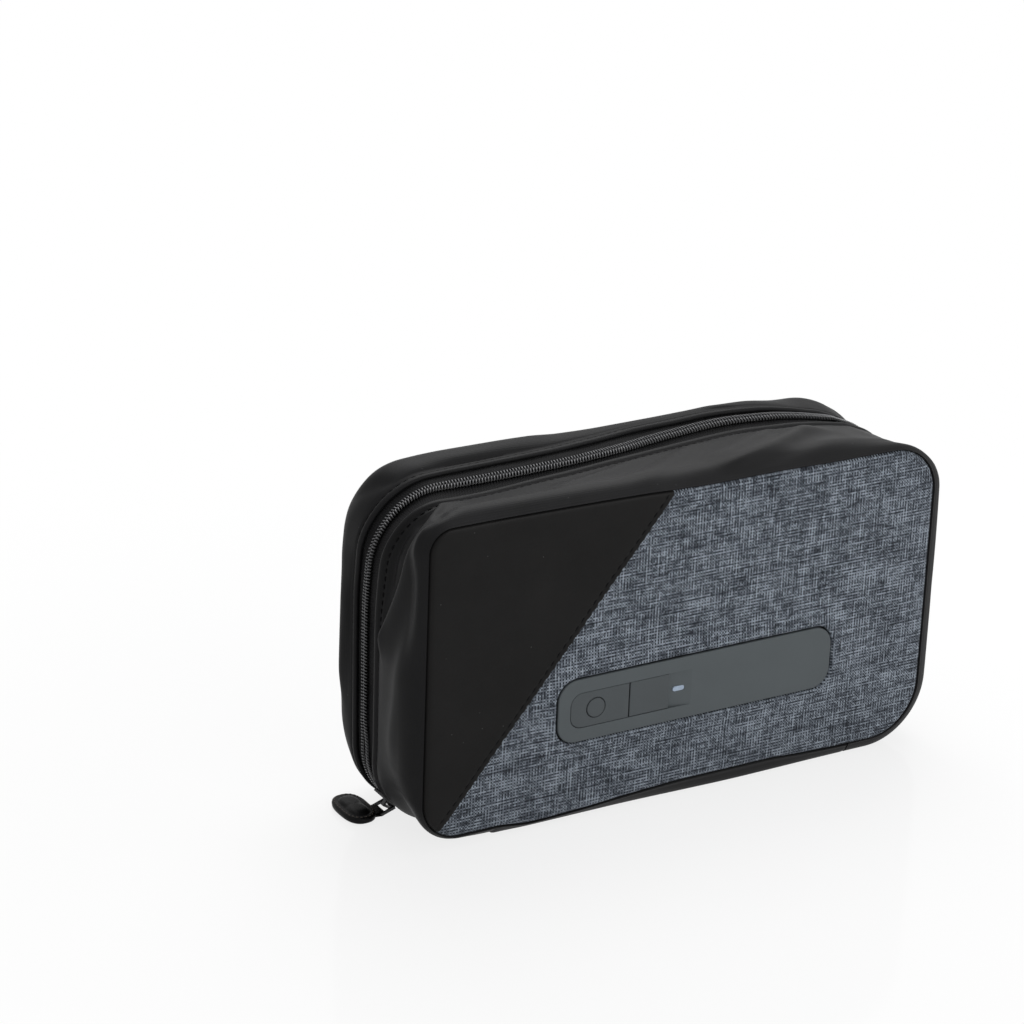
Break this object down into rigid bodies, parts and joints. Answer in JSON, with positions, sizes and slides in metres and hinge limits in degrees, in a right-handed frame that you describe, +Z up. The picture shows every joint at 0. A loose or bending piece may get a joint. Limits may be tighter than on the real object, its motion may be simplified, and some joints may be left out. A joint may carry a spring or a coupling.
{
  "type": "portable uv sterilizer case",
  "caption": "Soft zip-round ultraviolet sterilizer case with a heather and black fabric front, a rubbery control strip and a reflective inside that folds open.",
  "frame": {"origin": "centre of the flat base that the case stands on", "axes": "+X to the right along the width, the front panel faces -Y, +Z up"},
  "size_m": [0.2374, 0.0632, 0.13],
  "materials": {
    "black_fabric": "coated woven polyester, soft sheen",
    "heather_fabric": "blue-grey heather twill",
    "stiffener": "plain board",
    "reflective_lining": "metallised film",
    "zip_tape": "woven tape",
    "zip_coil": "moulded coil",
    "fascia_grey": "rubberised matt",
    "silicone_grey": "matt silicone",
    "black_plastic": "moulded",
    "indicator_white": "frosted light pipe",
    "bright_steel": "plated",
    "circuit_board": "laminate",
    "lamp_board_white": "metal-core board",
    "battery_pouch": "foil pouch",
    "housing_white": "moulded",
    "lamp_package": "ceramic package",
    "quartz": "clear quartz",
    "black_metal": "painted die casting",
    "black_leather": "synthetic leather, stitched"
  },
  "bodies": {
    "rear_half": {"rear_gusset": "black_fabric", "rear_panel": "heather_fabric", "rear_board": "stiffener", "rear_liner": "reflective_lining", "zip_tape_rear": "zip_tape", "zip_chain_rear": "zip_coil", "zip_tape_tail": "zip_tape", "base_panel": "black_fabric", "base_liner": "reflective_lining", "corner_pleat_left": "reflective_lining", "corner_pleat_right": "reflective_lining"},
    "power_button": {"button_cap": "silicone_grey", "switch_plunger": "black_plastic"},
    "port_flap_body": {"port_flap": "silicone_grey"},
    "zip_slider": {"slider_body": "black_metal"},
    "zip_pull": {"pull_link": "black_metal", "pull_tab": "black_leather", "pull_padding": "black_leather"},
    "front_half": {"front_gusset": "black_fabric", "front_panel_black": "black_fabric", "front_panel_heather": "heather_fabric", "front_board": "stiffener", "front_liner": "reflective_lining", "zip_tape_front": "zip_tape", "zip_chain_front": "zip_coil", "fascia": "fascia_grey", "key_pad": "silicone_grey", "tact_switch": "black_plastic", "port_tongue": "black_plastic", "indicator_lens": "indicator_white", "port_shell": "bright_steel", "housing_screw_left": "bright_steel", "housing_screw_right": "bright_steel", "main_board": "circuit_board", "lamp_board": "lamp_board_white", "battery_cell": "battery_pouch", "module_housing": "housing_white", "uvc_led_1": "lamp_package", "lamp_window_1": "quartz", "uvc_led_2": "lamp_package", "lamp_window_2": "quartz", "uvc_led_3": "lamp_package", "lamp_window_3": "quartz", "uvc_led_4": "lamp_package", "lamp_window_4": "quartz"}
  },
  "joints": [
    {"name": "front_fold", "type": "hinge", "parent": "rear_half", "child": "front_half", "pos_m": [0, -0.0291, 0.0051], "axis": [1, 0, 0], "range_deg": [0, 90], "deforming": ["corner_pleat_left", "corner_pleat_right"]},
    {"name": "power_press", "type": "slide", "parent": "front_half", "child": "power_button", "axis": [0, 1, 0], "range_m": [0, 0.0006], "stiffness_N_per_m": 1500},
    {"name": "port_flap_turn", "type": "hinge", "parent": "front_half", "child": "port_flap_body", "pos_m": [-0.0242, -0.032, 0.0461], "axis": [0, 0, -1], "range_deg": [0, 110], "stiffness_Nm_per_rad": 0.002},
    {"name": "slider_travel", "type": "hinge", "parent": "rear_half", "child": "zip_slider", "pos_m": [-0.087, 0.0065, 0.028], "axis": [0, 1, 0], "range_deg": [0, 34]},
    {"name": "pull_swing", "type": "hinge", "parent": "zip_slider", "child": "zip_pull", "pos_m": [-0.10369, 0.0065, 0.00325], "axis": [0, 1, 0], "range_deg": [0, 34]}
  ]
}
